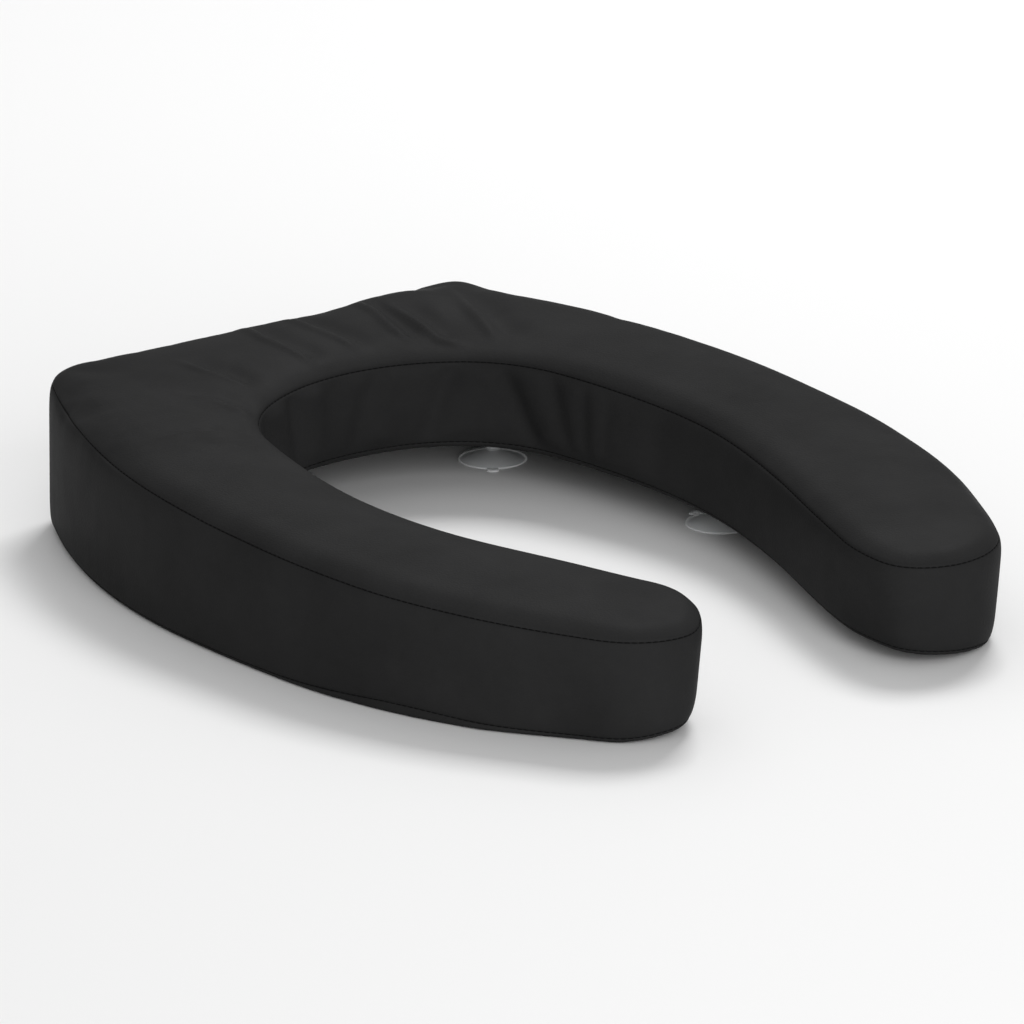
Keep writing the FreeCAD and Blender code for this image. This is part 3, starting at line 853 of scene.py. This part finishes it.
# ---- stitches -----------------------------------------------------------------------------
STITCH_LENGTH = 2.9 * MM
STITCH_GAP = 0.5 * MM
STITCH_RADIUS = 0.25 * MM
STITCH_SIDES = 6
STITCH_PROUD = 0.12 * MM                        # above the groove of the seam
TOPSTITCH = 2.4 * MM                            # from the zip's slot and the strips' ends
TOPSTITCH_FOOT = 5.0 * MM                       # heights between which the end rows run
TOPSTITCH_HEAD = 72.0 * MM


def stitch_row(name, line, upward, closed):
    """Short plump stitches along a line of points; upward is the way that each one faces."""
    line = np.asarray(line)
    if closed:
        line = np.concatenate([line, line[:1]])
        upward = np.concatenate([upward, upward[:1]])
    steps = np.linalg.norm(np.diff(line, axis=0), axis=1)
    along = np.concatenate([[0], np.cumsum(steps)])
    pitch = STITCH_LENGTH + STITCH_GAP
    count = int(along[-1] / pitch)
    pitch = along[-1] / count
    turns = np.arange(STITCH_SIDES) * 2 * math.pi / STITCH_SIDES
    points = []
    faces = []

    def at(distance, values):
        return np.array([np.interp(distance, along, values[:, axis]) for axis in range(3)])

    for number in range(count):
        start = number * pitch
        rings = []
        for share, fat, dip in ((0, 0.45, -1.0), (0.15, 0.95, 0.0), (0.5, 1.0, 0.25),
                                (0.85, 0.95, 0.0), (1, 0.45, -1.0)):
            place = at(start + share * STITCH_LENGTH, line)
            up = at(start + share * STITCH_LENGTH, upward)
            way = at(start + STITCH_LENGTH, line) - at(start, line)
            way /= np.linalg.norm(way)
            up -= way * (up @ way)
            up /= np.linalg.norm(up)
            side = np.cross(way, up)
            middle = place + up * STITCH_RADIUS * dip
            rings.append(len(points))
            for turn in turns:
                spoke = side * math.cos(turn) + up * math.sin(turn)
                points.append(middle + spoke * STITCH_RADIUS * fat)
        for low, high in zip(rings, rings[1:]):
            for side_number in range(STITCH_SIDES):
                after = (side_number + 1) % STITCH_SIDES
                faces.append((low + side_number, low + after, high + after, high + side_number))
        faces.append(tuple(rings[0] + k for k in reversed(range(STITCH_SIDES))))
        faces.append(tuple(rings[-1] + k for k in range(STITCH_SIDES)))
    return mesh_object(name, points, faces)


def rear_line(trees, start, end):
    """Points on the rear of the cover, between two places given by x and z."""
    count = round(math.dist(start, end) / (2 * MM))
    line = []
    for x, z in np.linspace(start, end, count):
        hits = [tree.ray_cast(Vector((x, 1.0, z)), Vector((0, -1, 0)))[0] for tree in trees]
        line.append(max((tuple(hit) for hit in hits if hit is not None), key=lambda at: at[1]))
    return np.array(line)


# ---- foam ---------------------------------------------------------------------------------
FOAM_INSET = 5.0 * MM


def build_foam(points, faces):
    """Both foam layers: the skin drawn in, hollowed for the zip and cups, and split."""
    every = [face for panel in faces.values() for face in panel]
    core = mesh_object("foam", points, every)
    places = positions(core.data) - normals(core.data) * FOAM_INSET
    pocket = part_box("zip_slider")[0].y - 1 * MM
    tape_low, tape_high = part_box("zip_tape_lower")[0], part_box("zip_tape_upper")[1]
    behind = (
        (places[:, 1] > pocket) & (abs(places[:, 0]) < tape_high.x + 3 * MM)
        & (places[:, 2] > tape_low.z - 1 * MM) & (places[:, 2] < tape_high.z + 1 * MM)
    )
    places[behind, 1] = pocket
    for name, centre in zip(CUPS, CUP_CENTRES):
        gap = np.linalg.norm(places[:, :2] - centre, axis=1)
        over = (gap < EYELET_RINGS[2] + 0.3 * MM) & (places[:, 2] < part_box(name)[1].z + 5 * MM)
        places[over, 2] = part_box(name)[1].z + 0.8 * MM
    set_positions(core.data, places)
    split = Vector((0, 0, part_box("foam_base")[1].z - TOP_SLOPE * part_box("foam_base")[1].y))
    tilt = Vector((0, -TOP_SLOPE, 1)).normalized()
    layers = []
    for name, flip in (("foam_top_layer_block", -1), ("foam_base_block", 1)):
        block = bmesh.new()
        block.from_mesh(core.data)
        cut = bmesh.ops.bisect_plane(
            block, geom=block.verts[:] + block.edges[:] + block.faces[:],
            plane_co=split, plane_no=tilt * flip, clear_outer=True,
        )
        rim = [item for item in cut["geom_cut"] if isinstance(item, bmesh.types.BMEdge)]
        bmesh.ops.triangle_fill(block, use_beauty=True, edges=rim, normal=tilt * flip)
        mesh = bpy.data.meshes.new(name)
        block.to_mesh(mesh)
        block.free()
        mesh.shade_smooth()
        piece = bpy.data.objects.new(name, mesh)
        bpy.context.scene.collection.objects.link(piece)
        layers.append(piece)
    bpy.data.objects.remove(core)
    return layers


# ---- build the object ---------------------------------------------------------------------
skin_points, skin_faces, top_count = build_skin()
skin_points = settle(skin_points, *swell(skin_points, skin_faces))
panel_points = sink_seams(skin_points, top_count)

vinyl = vinyl_material()
thread = thread_material()

cover = {
    node: cut_panel("cover_" + node, panel_points, skin_faces[node])
    for node in (
        "top_panel", "side_band", "rear_strip_upper", "rear_strip_lower", "bottom_panel",
    )
}
for piece in cover.values():
    refine(piece)
crease_top(cover["top_panel"])
crease_wall(cover["side_band"])
for node, piece in cover.items():
    thicken(piece)
    dress(piece, vinyl)
    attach(piece, "cushion")
    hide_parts(node)

for (name, node), (numbers, tilt) in zip(
    (("stitches_top_seam", "seam_thread_top"), ("stitches_bottom_seam", "seam_thread_bottom")),
    seam_numbers(top_count),
):
    facing = np.column_stack([OUTWARD, np.full(COUNT, tilt)]) / math.sqrt(2)
    line = panel_points[numbers] + facing * STITCH_PROUD
    stitches = stitch_row(name, line, facing, True)
    dress(stitches, thread)
    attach(stitches, "cushion")
    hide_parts(node)

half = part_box("zip_tape_upper")[1].x
slot_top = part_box("rear_strip_upper")[0].z
slot_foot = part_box("rear_strip_lower")[1].z
rear_trees = [
    BVHTree.FromObject(piece, bpy.context.evaluated_depsgraph_get())
    for piece in (cover["side_band"], cover["rear_strip_upper"], cover["rear_strip_lower"])
]
for name, start, end in (
    ("topstitch_above_zip", (half, slot_top + TOPSTITCH), (-half, slot_top + TOPSTITCH)),
    ("topstitch_below_zip", (half, slot_foot - TOPSTITCH), (-half, slot_foot - TOPSTITCH)),
    ("topstitch_right", (half + TOPSTITCH, TOPSTITCH_FOOT), (half + TOPSTITCH, TOPSTITCH_HEAD)),
    ("topstitch_left",
     (-half - TOPSTITCH, TOPSTITCH_FOOT), (-half - TOPSTITCH, TOPSTITCH_HEAD)),
):
    line = rear_line(rear_trees, start, end)
    stitches = stitch_row(name, line, np.tile((0.0, 1.0, 0.0), (len(line), 1)), False)
    dress(stitches, thread)
    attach(stitches, "cushion")

foam_top, foam_base = build_foam(skin_points, skin_faces)
for piece, node, slot, dark, pale in (
    (foam_top, "foam_top_layer", "soft_foam", (0.50, 0.46, 0.33), (0.72, 0.68, 0.52)),
    (foam_base, "foam_base", "firm_foam", (0.10, 0.11, 0.12), (0.19, 0.20, 0.22)),
):
    dress(piece, foam_material(slot, dark, pale))
    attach(piece, "cushion")
    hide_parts(node)

tape = tape_material()
nylon = nylon_material()
enamel = enamel_material()
clear = clear_material()
for node, material in (
    ("zip_tape_upper", tape), ("zip_tape_lower", tape),
    ("zip_teeth_upper", nylon), ("zip_teeth_lower", nylon),
    ("zip_end_stops", enamel), ("zip_slider", enamel), ("zip_pull", enamel),
    ("cup_eyelets", steel_material()),
    *((cup, clear) for cup in CUPS),
):
    dress(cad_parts[node], material)

# ---- floor, light and camera --------------------------------------------------------------
FLOOR_HALF = 30.0
floor = mesh_object(
    "floor",
    [(-FLOOR_HALF, -FLOOR_HALF, 0), (FLOOR_HALF, -FLOOR_HALF, 0),
     (FLOOR_HALF, FLOOR_HALF, 0), (-FLOOR_HALF, FLOOR_HALF, 0)],
    [(0, 1, 2, 3)],
)
dress(floor, floor_material())

world = bpy.data.worlds.new("studio")
world.use_nodes = True
world.node_tree.nodes["Background"].inputs["Color"].default_value = (1, 1, 1, 1)
world.node_tree.nodes["Background"].inputs["Strength"].default_value = 0.45
bpy.context.scene.world = world


def area_light(name, place, size, power, aim=(0, 0, 0.04)):
    light = bpy.data.lights.new(name, "AREA")
    light.shape = "SQUARE"
    light.size = size
    light.energy = power
    lamp = bpy.data.objects.new(name, light)
    lamp.location = place
    lamp.rotation_euler = (Vector(aim) - Vector(place)).to_track_quat("-Z", "Y").to_euler()
    bpy.context.scene.collection.objects.link(lamp)


area_light("key", (1.4, 0.9, 2.3), 0.9, 44)
area_light("front", (-1.1, -2.8, 1.2), 2.0, 60)
area_light("rear", (0.8, 2.6, 2.6), 2.4, 12)
bpy.context.scene.view_settings.view_transform = "Standard"

back = Vector((
    math.sin(CAMERA_AZIMUTH) * math.cos(CAMERA_ELEVATION),
    -math.cos(CAMERA_AZIMUTH) * math.cos(CAMERA_ELEVATION),
    math.sin(CAMERA_ELEVATION),
))
level = Vector((math.cos(CAMERA_AZIMUTH), math.sin(CAMERA_AZIMUTH), 0))
right = level * math.cos(CAMERA_ROLL) + back.cross(level) * math.sin(CAMERA_ROLL)
camera = bpy.data.objects.new("camera", bpy.data.cameras.new("camera"))
camera.data.lens = CAMERA_LENS
camera.data.sensor_width = 36.0
camera.data.clip_end = 100.0
placed = Matrix((right, back.cross(right), back)).transposed().to_4x4()
placed.translation = CAMERA_AIM + back * CAMERA_DISTANCE
camera.matrix_world = placed
bpy.context.scene.collection.objects.link(camera)
bpy.context.scene.camera = camera
